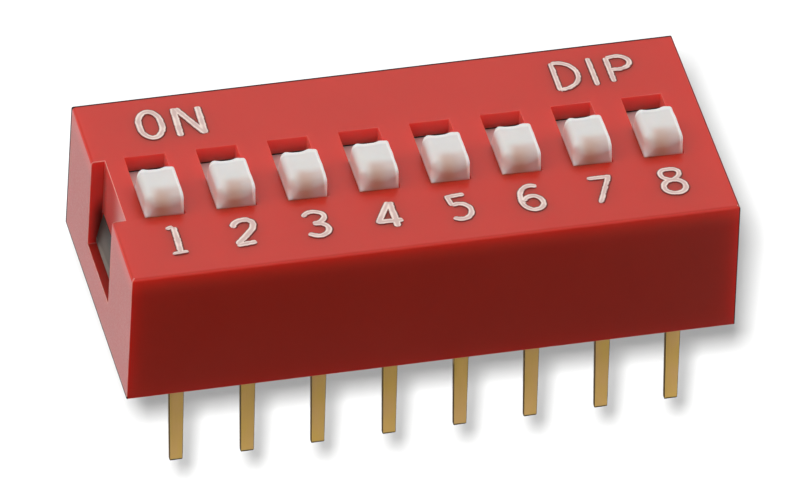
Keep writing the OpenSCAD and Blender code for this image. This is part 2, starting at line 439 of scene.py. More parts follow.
knobLook = {
    "white": (0.80, 0.785, 0.765, 1), "shade": (0.76, 0.74, 0.72, 1), "dust": (0.5, 0.4, 0.36, 1),
    # the masks that paintKnob makes, from the first coat to the last: painted shade and red reflection on
    # the front, its scoop and the slider, painted red reflection on the left flank and the foot, painted
    # highlights on the rims
    "areas": {"front": (0.67, 0.565, 0.535, 1), "scoopShade": (0.63, 0.395, 0.29, 1),
              "redLitFlank": (0.74, 0.56, 0.52, 1), "rim": (1.0, 0.99, 0.94, 1), "foot": (0.95, 0.38, 0.34, 1),
              "slider": (0.69, 0.505, 0.485, 1)},
    "roughness": (0.34, 0.46),
    "glow": 0.7,
    "grain": {"Grain Size": 0.05 * mm, "Grain Depth": 0.0006 * mm, "Wave Size": 0.5 * mm,
              "Wave Depth": 0.006 * mm},
    "specks": {"Spacing": 0.9 * mm, "Speck Size": 0.03, "Share": 0.15},
}


def knobMaterial():
    look = knobLook
    material, tree, shader, _, grain, dust = newMaterial("whiteKnobPlastic", look)
    areas = [(readMask(tree, area), tone) for area, tone in look["areas"].items()]
    color = coats(tree, look["white"], (grain["Tone"], look["shade"]), *areas,
                  (dust["Mask"], look["dust"]))
    fill(tree, shader, {
        "Base Color": color, "Normal": grain["Normal"],
        "Roughness": spread(tree, grain["Grain"], *look["roughness"]), "Subsurface Weight": look["glow"],
        "Subsurface Radius": (0.30, 0.22, 0.18), "Subsurface Scale": 1.8 * mm})
    return material


baseLook = {
    "dark": (0.024, 0.019, 0.016, 1), "pale": (0.050, 0.040, 0.034, 1), "wearAndHighlight": (0.26, 0.22, 0.19, 1),
    "latch": (0.135, 0.110, 0.092, 1), "streak": (0.27, 0.235, 0.205, 1),
    "roughness": (0.36, 0.54), "specular": 0.12,
    "grain": {"Grain Size": 0.08 * mm, "Grain Depth": 0.002 * mm, "Wave Size": 1.5 * mm,
              "Wave Depth": 0.006 * mm},
    "wearAndShading": {"Patch Size": 0.3 * mm, "Amount": 0.5},
    # millimetres over which the latch's painted light comes in, along its length and down its face: a paler
    # grey, a painted reflection that gives way to the dark plastic at its top and ends as painted shade,
    # and a painted highlight streak low down
    "latchAlong": [(1.5, 0.5), (-0.62, -0.25)],
    "latchDown": {"latch": (2.75, 2.1), "streak": (2.05, 1.75)},
}


def baseMaterial():
    look = baseLook
    material, tree, shader, place, grain, wearAndShading = newMaterial("darkBasePlastic", look)
    _, along, height = axes(tree, place)
    # painted light on the latch: a paler grey and a highlight streak
    latch = readMask(tree, "latch")
    for outer, inner in look["latchAlong"]:
        latch = product(tree, latch, ramp(tree, along, outer * mm, inner * mm, smooth=True))
    color = blendColor(tree, grain["Grain"], look["dark"], look["pale"])
    for tone, (upper, lower) in look["latchDown"].items():
        shown = product(tree, ramp(tree, height, upper * mm, lower * mm, smooth=True), latch)
        color = blendColor(tree, shown, color, look[tone])
    # the pale edges: wear with a painted highlight
    fill(tree, shader, {
        "Base Color": blendColor(tree, wearAndShading["Mask"], color, look["wearAndHighlight"]), "Normal": grain["Normal"],
        "Roughness": spread(tree, grain["Tone"], *look["roughness"]),
        "Specular IOR Level": look["specular"]})
    return material


goldLook = {
    # painted shade: the dark colour on a pin's rounded edges, cut sides and tip
    "gold": (0.65, 0.42, 0.105, 1), "copper": (0.66, 0.41, 0.15, 1), "edge": (0.050, 0.032, 0.015, 1),
    "roughness": (0.28, 0.46),
    "tip": (0.09 * mm, 0.054 * mm),      # heights above the lowest level where the tip gets dark
    "drawn": {"Line Size": 0.03 * mm, "Line Depth": 0.0008 * mm, "Mottle Size": 0.6 * mm},
    "wearAndShading": {"Patch Size": 0.8 * mm, "Patch From": 0.05, "Amount": 0.95},
}


def goldMaterial(name):
    look = goldLook
    material, tree, shader, place, wearAndShading, drawn = newMaterial(name, look)
    tip = ramp(tree, axes(tree, place)[2], *(floorZ + level for level in look["tip"]))
    # painted shade: edges, cut sides and the tip go dark and lose their metal
    dark = calc(tree, "MAXIMUM", wearAndShading["Mask"], tip)
    color = coats(tree, look["gold"], (spread(tree, drawn["Mottle"]), look["copper"]), (dark, look["edge"]))
    fill(tree, shader, {
        "Base Color": color, "Normal": drawn["Normal"],
        "Metallic": less(tree, 1.0, dark), "Specular IOR Level": 0.0,
        "Roughness": spread(tree, drawn["Lines"], *look["roughness"])})
    return material


inkLook = {
    # painted light: pale highlights on the rims of the strokes, and a dark outline as painted shadow
    "rim": (1.0, 0.83, 0.76, 1), "middle": (0.74, 0.54, 0.50, 1), "outline": (0.17, 0.016, 0.012, 1),
    "highlightFrom": (0.35, 0.8), "patchy": (-0.25, 0.25), "roughness": (0.45, 0.6), "specular": 0.2,
    "grain": {"Grain Size": 0.05 * mm, "Grain Depth": 0.002 * mm, "Wave Size": 0.4 * mm,
              "Wave Depth": 0.004 * mm},
}


def inkMaterial():
    look = inkLook
    material, tree, shader, _, grain = newMaterial("legendInk", look)
    patchy = calc(tree, "ADD", readMask(tree, "across"), spread(tree, grain["Tone"], *look["patchy"]))
    fill(tree, shader, {
        "Base Color": coats(tree, look["middle"], (ramp(tree, patchy, *look["highlightFrom"]), look["rim"]),
                            (readMask(tree, "outline"), look["outline"])),
        "Roughness": spread(tree, grain["Grain"], *look["roughness"]), "Normal": grain["Normal"],
        "Specular IOR Level": look["specular"]})
    return material


materials = {
    "cover": coverMaterial(), "knob": knobMaterial(), "base": baseMaterial(), "ink": inkMaterial(),
    "gold": goldMaterial("goldTerminalMetal"), "spring": goldMaterial("goldSpringMetal"),
}
print("materials ready")


def dress(obj, material, body, slot, *nodes):
    obj.data.materials.clear()
    obj.data.materials.append(material)
    if nodes:
        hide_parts(*nodes)
    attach(obj, body)


coverShape = {
    "edgeRadius": 0.035 * mm,
    "segments": 2,
    "wall": 0.15 * mm,           # faces further in than this belong to slots and notches
    "sillDepth": 0.8 * mm,
    "sillTop": 2.0 * mm,
    "upright": 0.8,              # faces that point up more than this are floors, not walls
    # where the edge wear and its painted highlight are held back to a share: from these depths on, in
    # slots, in notches and at sills
    "calm": (1.0 * mm, 0.45 * mm, 0.10 * mm),
    "calmFacing": 0.3,           # in the slots on all but their left rims
    "calmBelow": 0.06 * mm,      # in the notches below their rims
    "calmShare": 0.15,
    "slotZone": (0.80 * mm, 1.70 * mm, 0.65 * mm),   # half width, half length and depth around a slot
    "slotHalf": 0.735 * mm,
    "ceiling": 0.5 * mm,         # below the top; deeper points are at the slots' lower ends
    "lip": 0.07 * mm,            # the slot walls reach down this much under the ceiling
    "slotRear": 0.05 * mm,       # and the slots this much further back
    "slotRight": 0.03 * mm,      # and this much less to the right
    "skirt": 0.08 * mm,          # how far the lower rim comes down below the seating plane
}


def easeSlots(bm):
    # small departures of the moulding from its drawing, at the slots and at the lower rim
    halfWidth, halfLength, zoneDepth = coverShape["slotZone"]
    for v in bm.verts:
        nearest = min(switchX, key=lambda middle: abs(v.co.x - middle))
        depth = coverTop - v.co.z
        if abs(v.co.x - nearest) < halfWidth and abs(v.co.y) < halfLength and depth < zoneDepth:
            if depth > coverShape["ceiling"]:
                v.co.z -= coverShape["lip"]
            if v.co.y > 0:
                v.co.y += coverShape["slotRear"]
            if v.co.x > nearest:
                v.co.x -= coverShape["slotRight"]
        if v.co.z < hair:
            v.co.z -= coverShape["skirt"]


def markInside(mesh):
    # one mask on the walls of the slots and the notches, which are painted paler as painted light, one on
    # the low sills under the notches, which are painted darker as painted shade
    shape = coverShape
    x, y, z = readItems(mesh.polygons, "center", 3)
    facingX, _, facingZ = readItems(mesh.polygons, "normal", 3)
    fromEnd = coverHigh[0] - np.abs(x)
    within = (fromEnd > shape["wall"]) & (coverHigh[1] - np.abs(y) > shape["wall"])
    low = (fromEnd < shape["sillDepth"]) & (z < shape["sillTop"])
    writeMask(mesh, "inside", within & (facingZ < shape["upright"]))
    writeMask(mesh, "sill", low & (facingZ > shape["upright"]))
    # the pale edges, wear with a painted highlight, stay full on the slots' left rims only, and hardly show
    # in the inner corners of the notches
    edge = readItems(mesh.attributes["edge"].data, "value")
    slots, notches, sills = (fromEnd > depth for depth in shape["calm"])
    calm = slots & (facingX < shape["calmFacing"])
    calm |= notches & (z < coverTop - shape["calmBelow"])
    calm |= sills & (z < shape["sillTop"])
    writeMask(mesh, "edge", np.where(calm, shape["calmShare"] * edge, edge))


def isLeftRim(edge):
    # the upper left edge of a slot, which stays sharp
    spots = [v.co for v in edge.verts]
    rims = [middle - coverShape["slotHalf"] for middle in switchX]
    return all(abs(p.z - coverTop) < hair and abs(p.y) < coverLook["notchRear"] + 0.1 * mm
               and min(abs(p.x - rim) for rim in rims) < hair for p in spots)


def makeCover():
    bm = mergedCopy("cover")
    easeSlots(bm)
    roundEdges(bm, coverShape["edgeRadius"], coverShape["segments"], keep=isLeftRim)
    cover = finishMesh(bm, "redCover")
    markInside(cover.data)
    dress(cover, materials["cover"], "housing", "cover_plastic", "cover")


makeCover()
print("cover made")

baseShape = {"edgeRadius": 0.03 * mm, "segments": 1, "latchFrom": 10.33 * mm, "latchRadius": 0.14 * mm,
             "latchSegments": 4}


def makeBase():
    bm = mergedCopy("base")
    tips = [e for e in bm.edges if min(abs(v.co.x) for v in e.verts) > baseShape["latchFrom"]]
    bevelEdges(bm, tips, baseShape["latchRadius"], baseShape["latchSegments"])
    roundEdges(bm, baseShape["edgeRadius"], baseShape["segments"])
    base = finishMesh(bm, "darkBase")
    x, _, _ = readItems(base.data.polygons, "center", 3)
    writeMask(base.data, "latch", np.abs(x) > baseShape["latchFrom"])
    dress(base, materials["base"], "housing", "base_plastic", "base")


makeBase()
print("base made")

# -1 stands for a knob's left side and 1 for its right one
knobShape = {
    "taper": {-1: 0.05 * mm, 1: 0.0},            # how far the sides lean in up to the top
    "extraWidth": 0.01 * mm,
    "shift": -0.03 * mm,       # it sits a little to the left in its slot
    "sliderEnds": 0.8 * mm,    # beyond this, to the left and right, it is all slider
    "sliderDrop": 0.08 * mm,   # the slider lies this much lower where the slot shows it
    "rootDepth": 0.25 * mm,    # how deep it is rooted in the slider
    "rails": {"frontLean": 0.10 * mm, "rearLean": 0.03 * mm, "frontRound": 0.38 * mm,
              "rearRound": 0.05 * mm, "drop": 0.10 * mm},
    "groove": {"frontLean": 0.14 * mm, "rearLean": 0.06 * mm, "frontRound": 0.58 * mm,
               "rearRound": 0.05 * mm, "drop": 0.125 * mm},
    "grooveReach": {-1: 1.20 * mm, 1: 0.62 * mm},   # how far the groove runs out sideways
    "grooveShift": 0.05 * mm,  # its middle, to the right of the knob's
    "lowRound": {-1: 0.08 * mm, 1: 0.05 * mm},   # radius of its upright edges in the slot
    "rounds": {-1: {"front": 0.56 * mm, "top": 0.26 * mm, "rear": 0.22 * mm},
               1: {"front": 0.16 * mm, "top": 0.09 * mm, "rear": 0.18 * mm}},
    "growth": 0.6,             # how early these radii come in on the way up
    # middle, width and height of each bump on the top
    "bumps": [(0.36 * mm, 0.14 * mm, 0.065 * mm), (-0.46 * mm, 0.16 * mm, 0.050 * mm)],
    "bumpLength": 0.40 * mm,   # the bumps run out this far from the rear edge
    "bumpFull": 0.10 * mm,     # and have their full height this close to it
    "columns": 34,
    "turns": 11,               # columns around either rounded side
    "steps": {"root": 5, "front": 12, "frontArc": 18, "top": 20, "rearArc": 6, "rear": 14},
    # the unevenness grows over the even height above the cover
    "uneven": {"Unevenness": 0.05 * mm, "Uneven Size": 0.50 * mm, "Even Height": 0.5 * mm},
    "sliderRound": 0.04 * mm,
    "crease": 40,
}


def arcPoints(center, radius, start, end, steps):
    angles = [start + (end - start) * k / steps for k in range(steps + 1)]
    return [(center[0] + radius * math.cos(a), center[1] + radius * math.sin(a)) for a in angles]


def linePoints(start, end, steps):
    # evenly spaced points from the start up to the end, without the end
    return [tuple(np.add(start, np.subtract(end, start) * k / steps)) for k in range(steps)]


def knobOutline(shape, steps, root, front, rear):
    # side view from the front root over the top to the rear root, as (y, z) points
    top = knobTop - shape["drop"]
    rise = top - coverTop
    leanFront = math.atan2(shape["frontLean"], rise)
    leanRear = math.atan2(shape["rearLean"], rise)
    big, small = shape["frontRound"], shape["rearRound"]
    bigY = front + (big + (rise - big) * math.sin(leanFront)) / math.cos(leanFront)
    smallY = rear - (small + (rise - small) * math.sin(leanRear)) / math.cos(leanRear)
    frontArc = arcPoints((bigY, top - big), big, math.pi - leanFront, math.pi / 2, steps["frontArc"])
    rearArc = arcPoints((smallY, top - small), small, math.pi / 2, leanRear, steps["rearArc"])
    points = linePoints((front, root), (front, coverTop), steps["root"])
    points += linePoints((front, coverTop), frontArc[0], steps["front"])
    points += frontArc[:-1]
    points += linePoints(frontArc[-1], rearArc[0], steps["top"])
    points += rearArc[:-1]
    points += linePoints(rearArc[-1], (rear, coverTop), steps["rear"])
    points += linePoints((rear, coverTop), (rear, root), steps["root"])
    points.append((rear, root))
    return np.array(points)


def smoothStep(value, start, end):
    share = np.clip((value - start) / (end - start), 0, 1)
    return share * share * (3 - 2 * share)


def knobGrid(shape, width, root, front, rear):
    # columns of points, from the left side across to the right one
    rails, groove = (knobOutline(side, shape["steps"], root, front, rear)
                     for side in (shape["rails"], shape["groove"]))
    step = np.gradient(rails, axis=0)
    step /= np.linalg.norm(step, axis=1)[:, None]
    facing = {"front": np.clip(step[:, 1], 0, 1) ** 2, "top": np.clip(step[:, 0], 0, 1) ** 2,
              "rear": np.clip(-step[:, 1], 0, 1) ** 2}
    grow = np.clip((rails[:, 1] - coverTop) / (knobTop - coverTop), 0, 1) ** shape["growth"]
    half = width / 2
    radius = {}
    for hand, rounds in shape["rounds"].items():
        low = shape["lowRound"][hand]
        radius[hand] = low + grow * sum(facing[key] * (rounds[key] - low) for key in rounds)
    turns = np.radians(np.linspace(90, 0, shape["turns"]))
    flat = np.linspace(-1, 1, shape["columns"] + 1)[1:-1]
    columns = [(-1, turn) for turn in turns] + [(place, None) for place in flat]
    columns += [(1, turn) for turn in turns[::-1]]
    grid = []
    for place, turn in columns:
        if turn is None:
            share = (place + 1) / 2
            x = -(half - radius[-1]) * (1 - share) + (half - radius[1]) * share
        else:
            x = place * (half - radius[place] * (1 - math.sin(turn)))
        off = x - shape["grooveShift"]
        widest = np.where(off < 0, shape["grooveReach"][-1], shape["grooveReach"][1])
        reach = np.clip(np.abs(off) / widest, 0, 1)
        share = (0.5 + 0.5 * np.cos(math.pi * reach))[:, None]
        yz = rails * (1 - share) + groove * share
        if turn is not None:
            # the rounded side moves in towards a smaller outline
            most = max(shape["rounds"][place].values())
            inner = np.column_stack([np.clip(yz[:, 0], front + most, rear - most),
                                     np.minimum(yz[:, 1], knobTop - shape["rails"]["drop"] - most)])
            yz = yz + (inner - yz) * (radius[place] / most * (1 - math.cos(turn)))[:, None]
        height = np.clip((yz[:, 1] - coverTop) / (knobTop - coverTop), 0, 1)
        behind = smoothStep(yz[:, 0], rear - shape["bumpLength"], rear - shape["bumpFull"])
        for middle, spreadX, rise in shape["bumps"]:
            yz[:, 1] += rise * np.exp(-((x - middle) / spreadX) ** 2) * behind * height ** 2
        lean = np.where(x < 0, shape["taper"][-1], shape["taper"][1]) * height / half
        grid.append(np.column_stack([x * (1 - lean), yz]))
    return np.array(grid)


def closedGrid(grid):
    # a grid of points as a closed shape: skin, flat side walls and bottom
    bm = bmesh.new()
    rows, columns = grid.shape[:2]
    verts = [[bm.verts.new(grid[i, j]) for j in range(columns)] for i in range(rows)]
    for i in range(rows - 1):
        for j in range(columns - 1):
            bm.faces.new((verts[i][j], verts[i + 1][j], verts[i + 1][j + 1], verts[i][j + 1]))
        bm.faces.new((verts[i][0], verts[i][-1], verts[i + 1][-1], verts[i + 1][0]))
    for rim in (verts[0], verts[-1]):
        low, high = 0, columns - 1
        while high - low > 2:
            bm.faces.new((rim[low], rim[low + 1], rim[high - 1], rim[high]))
            low += 1
            high -= 1
        if high - low == 2:
            bm.faces.new((rim[low], rim[low + 1], rim[high]))
    bmesh.ops.remove_doubles(bm, verts=bm.verts, dist=doubles / 100)
    bmesh.ops.recalc_face_normals(bm, faces=bm.faces)
    return bm


def makeActuatorMaster():
    # slider of the CAD solid with a sculpted knob in place of its plain one, around x = 0
    points = [v.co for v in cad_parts["actuator_1"].data.vertices]
    sliderTop = max(p.z for p in points if abs(p.x - switchX[0]) > knobShape["sliderEnds"])
    section = [p for p in points if abs(p.z - coverTop) < hair / 10]
    sides, ends = [p.x for p in section], [p.y for p in section]
    slider = mergedCopy("actuator_1")
    above = [v for v in slider.verts if v.co.z > sliderTop + hair]
    bmesh.ops.delete(slider, geom=above, context="VERTS")
    bmesh.ops.holes_fill(slider, edges=[e for e in slider.edges if e.is_boundary], sides=0)
    joinFlat(slider)
    for v in slider.verts:
        if v.co.z > sliderTop - hair:
            v.co.z -= knobShape["sliderDrop"]
    roundEdges(slider, knobShape["sliderRound"], 2)
    bmesh.ops.translate(slider, verts=slider.verts, vec=(-switchX[0], 0, 0))
    sliderObject = meshObject(slider, "slider")
    width = max(sides) - min(sides) + knobShape["extraWidth"]
    grid = knobGrid(knobShape, width, sliderTop - knobShape["rootDepth"], min(ends), max(ends))
    grid[:, :, 0] += knobShape["shift"]
    knob = meshObject(closedGrid(grid), "knob")
    union = sliderObject.modifiers.new("union", "BOOLEAN")
    union.operation = "UNION"
    union.solver = "EXACT"
    union.object = knob
    master = bake(sliderObject, "actuatorMaster")
    bpy.data.objects.remove(knob)
    return master


# where each mask of a knob comes in, in millimetres measured as the names say, and how much of it stays
knobPaint = {
    "low": 0.30,               # below the cover's top, where the front's masks end
    "sliderLow": 0.58,         # below this it is the slider
    "shadedHollow": {"middle": -0.11, "reach": (0.54, 0), "fromFront": (0.92, 0.10), "atTop": 0.72},
    "down": (0.75, 0.10),
    "front": {"fromFront": (0.80, 0.42), "across": (-0.45, -0.12), "atFoot": 0.5},
    "redLitFlank": {"across": (-0.30, -0.62), "underTop": (0.05, 0.50), "up": (0, 0.30), "amount": 0.8},
    "foot": {"up": (0.06, -0.06)},
    "rightHighlight": {"fromRight": (0.14, 0.084), "up": (0, 0.4)},
    "rearHighlight": {"fromRear": (0.24, 0.168), "depth": 0.30},
}


def paintKnob(mesh):
    # masks of painted light and shade: shade and red reflection on the front, its hollow and the slider,
    # red reflection on the left flank and the foot, highlights on the right and rear rims
    points = readItems(mesh.vertices, "co", 3)
    raised = points[2] > coverTop
    x, y, z = points / mm
    up = z - coverTop / mm
    spots = {"across": x, "up": up, "underTop": knobTop / mm - z, "fromFront": y - y[raised].min(),
             "fromRear": y[raised].max() - y, "fromRight": x[raised].max() - x}
    paint = knobPaint

    def grown(area):
        return np.prod([smoothStep(spots[key], *area[key]) for key in area if key in spots], axis=0)

    down = smoothStep(up, *paint["down"])
    shadedHollow, front = paint["shadedHollow"], paint["front"]
    scoopShade = grown(shadedHollow) * smoothStep(np.abs(x - shadedHollow["middle"]), *shadedHollow["reach"])
    scoopShade *= shadedHollow["atTop"] + (1 - shadedHollow["atTop"]) * down
    rearHighlight = grown(paint["rearHighlight"]) * (spots["underTop"] < paint["rearHighlight"]["depth"])
    masks = {
        "front": grown(front) * (1 - front["atFoot"] * down) * (up > -paint["low"]),
        "scoopShade": scoopShade * (up > -paint["low"]),
        "redLitFlank": grown(paint["redLitFlank"]) * paint["redLitFlank"]["amount"],
        "rim": np.maximum(grown(paint["rightHighlight"]), rearHighlight),
        "foot": grown(paint["foot"]) * (up > -paint["sliderLow"]),
        "slider": up < -paint["sliderLow"],
    }
    for name, mask in masks.items():
        writeMask(mesh, name, mask, "POINT")


def buildActuatorTree():
    # one actuator at its place, a little different from its neighbours above the cover
    tree, given, sink = newGroup("slidingActuator", "GeometryNodeTree", {
        "Geometry": None, "Place": (0.0, 0.0, 0.0), "Steady Below": 0.0, "Even Height": 0.5 * mm,
        "Unevenness": 0.0, "Uneven Size": 1.0, "Seed": 1, "Material": None}, ["Geometry"])
    place = geo(tree, "InputPosition")
    drift = noise(tree, place, given["Uneven Size"], 1.0, seed=product(tree, given["Seed"], 3.7))["Color"]
    centred = vectorCalc(tree, "SUBTRACT", drift, (0.5, 0.5, 0.78))
    above = less(tree, axes(tree, place)[2], given["Steady Below"])
    free = ramp(tree, above, 0.0, given["Even Height"])
    offset = vectorCalc(tree, "SCALE", centred, product(tree, free, given["Unevenness"]))
    moved = geo(tree, "SetPosition", {"Geometry": given["Geometry"], "Offset": offset})
    placed = geo(tree, "Transform", {"Geometry": moved, "Translation": given["Place"]})
    return endTree(tree, sink, placed, given["Material"])


def makeActuators():
    master = makeActuatorMaster()
    paintKnob(master.data)
    tree = buildActuatorTree()
    for n in range(1, ways + 1):
        shaped = runTree(newObject("actuatorCopy", master.data), tree, "actuatorShape", {
            **knobShape["uneven"], "Place": (switchX[n - 1], 0.0, 0.0), "Steady Below": coverTop,
            "Seed": n, "Material": materials["knob"]})
        actuator = smoothShade(shaped, knobShape["crease"], f"whiteActuator{n}")
        dress(actuator, materials["knob"], f"switch_{n}", "actuator_plastic", f"actuator_{n}")
    bpy.data.objects.remove(master)


makeActuators()
print("actuators made")

legendShape = {
    "height": 0.026 * mm,      # above the cover
    "depth": 0.012 * mm,       # below its surface
    "digitsFromFront": 1.92 * mm,
    "wordsFromRear": 1.58 * mm,
    "crease": 60,
    # painted shadow: the dark outline beside each stroke
    "outline": (1.02, 1.12),   # the dark outline comes in here, as a share of the pale part's half width
    "swell": (0.9, 1.1),
    # thinner: the pale part of a stroke, as a share of its drawn width; skirt: width of its dark outline, a
    # painted shadow
    "strokes": {"Half Width": 0.117 * mm, "Thinner": 0.90, "Skirt": 0.050 * mm,
                "Outline Shift": (0.008 * mm, -0.008 * mm, 0.0), "Step": 0.024 * mm, "Sides": 26,
                "Merge": 0.0005 * mm, "Wobble": 0.030 * mm, "Wobble Size": 0.13 * mm, "Seed": 4},
}
# strokes around each character's anchor: width, kind, and the x and y of its points, in millimetres
legendStrokes = {
    "1": [(0.171, "bent", (-.18, .62), (-.07, .63), (.11, .71)), (0.225, "bent", (.12, .67), (.11, .05),
          (.08, -.68)), (0.153, "bent", (-.23, -.74), (.35, -.7))],
    "2": [(0.235, "smooth", (-.43, .24), (-.3, .47), (.01, .59), (.28, .47), (.29, .2), (.04, -.15),
          (-.46, -.67)), (0.21, "bent", (-.48, -.71), (.24, -.63))],
    "3": [(0.196, "smooth", (-.46, .36), (-.23, .56), (.05, .56), (.28, .34), (.13, .04), (-.19, -.05)),
          (0.209, "smooth", (-.19, -.05), (.15, -.12), (.3, -.39), (.14, -.66), (-.14, -.72),
          (-.47, -.54))],
    "4": [(0.216, "bent", (.1, .64), (-.46, -.39), (.4, -.41)), (0.254, "bent", (.13, .63), (.15, -.26),
          (.14, -.74))],
    "5": [(0.189, "bent", (.25, .56), (-.38, .49), (-.31, .01)), (0.203, "smooth", (-.31, .01),
          (-.06, .07), (.22, -.1), (.29, -.37), (.14, -.66), (-.14, -.75), (-.42, -.63))],
    "6": [(0.194, "smooth", (.28, .5), (-.02, .57), (-.32, .33), (-.42, -.04), (-.4, -.4), (-.22, -.65),
          (-.01, -.72), (.24, -.59), (.31, -.34), (.13, -.03), (-.14, -.01), (-.35, -.21))],
    "7": [(0.185, "bent", (-.45, .56), (.32, .56), (-.28, -.8))],
    "8": [(0.187, "loop", (-.08, .56), (.19, .48), (.24, .28), (.06, .03), (-.09, -.02), (-.25, .04),
          (-.42, .28), (-.35, .49)), (0.2, "loop", (-.08, -.04), (.18, -.12), (.31, -.42), (.16, -.69),
          (-.08, -.74), (-.33, -.66), (-.46, -.42), (-.33, -.13))],
    "O": [(0.217, "loop", (.56, .65), (.83, .49), (.95, 0), (.86, -.52), (.57, -.77), (.28, -.6),
          (.17, -.11), (.27, .41))],
    "N": [(0.234, "bent", (1.53, .7), (1.48, -.86)), (0.234, "bent", (1.59, .68), (2.34, -.85)), (0.225,
          "bent", (2.38, .65), (2.35, -.85))],
    "D": [(0.18, "bent", (-2.7, .71), (-2.71, -.85)), (0.18, "smooth", (-2.69, .69), (-2.27, .58),
          (-1.98, .28), (-1.9, -.04), (-1.98, -.44), (-2.29, -.73), (-2.7, -.83))],
    "I": [(0.183, "bent", (-1.36, .75), (-1.35, -.81))],
    "P": [(0.189, "bent", (-.74, .65), (-.73, -.73)), (0.181, "smooth", (-.73, .62), (-.22, .62),
          (.02, .39), (0, .13), (-.22, -.03), (-.72, -.06))],
}


def addStroke(curve, stroke, anchor):
    width, kind, *points = stroke
    spline = curve.splines.new("BEZIER")
    spline.bezier_points.add(len(points) - 1)
    for knot, (x, y) in zip(spline.bezier_points, points):
        knot.co = (anchor[0] + x * mm, anchor[1] + y * mm, anchor[2])
        knot.handle_left_type = knot.handle_right_type = "VECTOR" if kind == "bent" else "AUTO"
        knot.radius = width * mm / 2 / legendShape["strokes"]["Half Width"]
    spline.use_cyclic_u = kind == "loop"
    spline.resolution_u = 24


def storeValue(tree, geometry, name, value):
    return geo(tree, "StoreNamedAttribute", {"Geometry": geometry, "Name": name, "Value": value},
               data_type="FLOAT", domain="POINT")


def buildInkTree():
    # strokes of paint along the curves: rounded ends, slightly uneven edges, a low crowned section
    tree, given, sink = newGroup("inkStrokes", "GeometryNodeTree", {
        "Geometry": None, "Half Width": 0.1 * mm, "Thinner": 1.0, "Skirt": 0.02 * mm,
        "Outline Shift": (0.0, 0.0, 0.0), "Height": 0.02 * mm, "Step": 0.02 * mm, "Sides": 16,
        "Merge": 0.0005 * mm, "Wobble": 0.01 * mm, "Wobble Size": 0.2 * mm, "Seed": 1, "Material": None,
    }, ["Geometry"])
    fine = geo(tree, "ResampleCurve", {"Curve": given["Geometry"], "Length": given["Step"]}, mode="LENGTH")
    place = geo(tree, "InputPosition")
    drift = noise(tree, place, given["Wobble Size"], 1.0, seed=given["Seed"])
    centred = vectorCalc(tree, "SUBTRACT", drift["Color"], (0.5, 0.5, 0.5))
    flat = vectorCalc(tree, "MULTIPLY", centred, (1.0, 1.0, 0.0))
    offset = vectorCalc(tree, "SCALE", flat, given["Wobble"])
    wavy = geo(tree, "SetPosition", {"Geometry": fine, "Offset": offset})
    level = geo(tree, "SetCurveNormal", {"Curve": wavy}, mode="Z_UP")
    # an open stroke narrows to a round end
    along = geo(tree, "SplineParameter", output="Length")
    total = geo(tree, "SplineLength", output="Length")
    nearest = calc(tree, "MINIMUM", along, less(tree, total, along))
    rest = less(tree, 1.0, calc(tree, "DIVIDE", nearest, given["Half Width"], clamp=True))
    cap = calc(tree, "SQRT", less(tree, 1.0, product(tree, rest, rest)))
    ends = calc(tree, "MAXIMUM", cap, geo(tree, "InputSplineCyclic"))
    swell = spread(tree, drift["Fac"], *legendShape["swell"])
    pale = product(tree, geo(tree, "InputRadius"), swell, ends, given["Thinner"], given["Half Width"])
    lines = storeValue(tree, level, "reach", pale)
    drawn = calc(tree, "ADD", pale, product(tree, ends, given["Skirt"]))
    ring = geo(tree, "CurvePrimitiveCircle", {"Resolution": given["Sides"], "Radius": 1.0})
    size = combine(tree, given["Half Width"], given["Height"], 1.0)
    tube = geo(tree, "CurveToMesh", {
        "Curve": lines, "Profile Curve": geo(tree, "Transform", {"Geometry": ring, "Scale": size}),
        "Scale": calc(tree, "DIVIDE", drawn, given["Half Width"]), "Fill Caps": True})
    closed = geo(tree, "MergeByDistance", {"Geometry": tube, "Distance": given["Merge"]})
    island = geo(tree, "InputMeshIsland", output="Island Index")
    parts = geo(tree, "SplitToInstances", {"Geometry": closed, "Group ID": island})
    marked = geo(tree, "MeshBoolean", {"Mesh 2": parts}, operation="UNION", solver="MANIFOLD")
    # masks: how far out in its stroke each point lies, for the painted highlights on its rims, and the dark
    # outline, a painted shadow shifted to the lower right
    middle = geo(tree, "CurveToMesh", {"Curve": lines})
    reach = geo(tree, "InputNamedAttribute", {"Name": "reach"}, data_type="FLOAT")
    shifted = vectorCalc(tree, "ADD", place, given["Outline Shift"])
    for name, spot in (("across", place), ("outline", shifted)):
        spots = {"Geometry": middle, "Sample Position": spot}
        near = geo(tree, "Proximity", spots, output="Distance", target_element="EDGES")
        index = geo(tree, "SampleNearest", spots, domain="POINT")
        local = geo(tree, "SampleIndex", {"Geometry": middle, "Value": reach, "Index": index},
                    data_type="FLOAT", domain="POINT")
        share = calc(tree, "DIVIDE", near, local)
        if name == "outline":
            share = ramp(tree, share, *legendShape["outline"])
        marked = storeValue(tree, marked, name, share)
    return endTree(tree, sink, marked, given["Material"])


def makeLegend():
    shape = legendShape
    curve = bpy.data.curves.new("legendLines", "CURVE")
    curve.dimensions = "3D"
    level = coverTop + (shape["height"] - shape["depth"]) / 2
    digitY = coverLow[1] + shape["digitsFromFront"]
    wordY = coverHigh[1] - shape["wordsFromRear"]
    marks = [(str(n + 1), (switchX[n], digitY, level)) for n in range(ways)]
    marks += [("ON", (switchX[0], wordY, level)), ("DIP", (switchX[-1], wordY, level))]
    for letters, anchor in marks:
        for letter in letters:
            for stroke in legendStrokes[letter]:
                addStroke(curve, stroke, anchor)
    shaped = runTree(newObject("legendLines", curve), buildInkTree(), "legendShape", {
        **shape["strokes"], "Height": (shape["height"] + shape["depth"]) / 2, "Material": materials["ink"]})
    legend = smoothShade(shaped, shape["crease"], "legend")
    dress(legend, materials["ink"], "housing", "legend_ink")


makeLegend()
print("legend made")

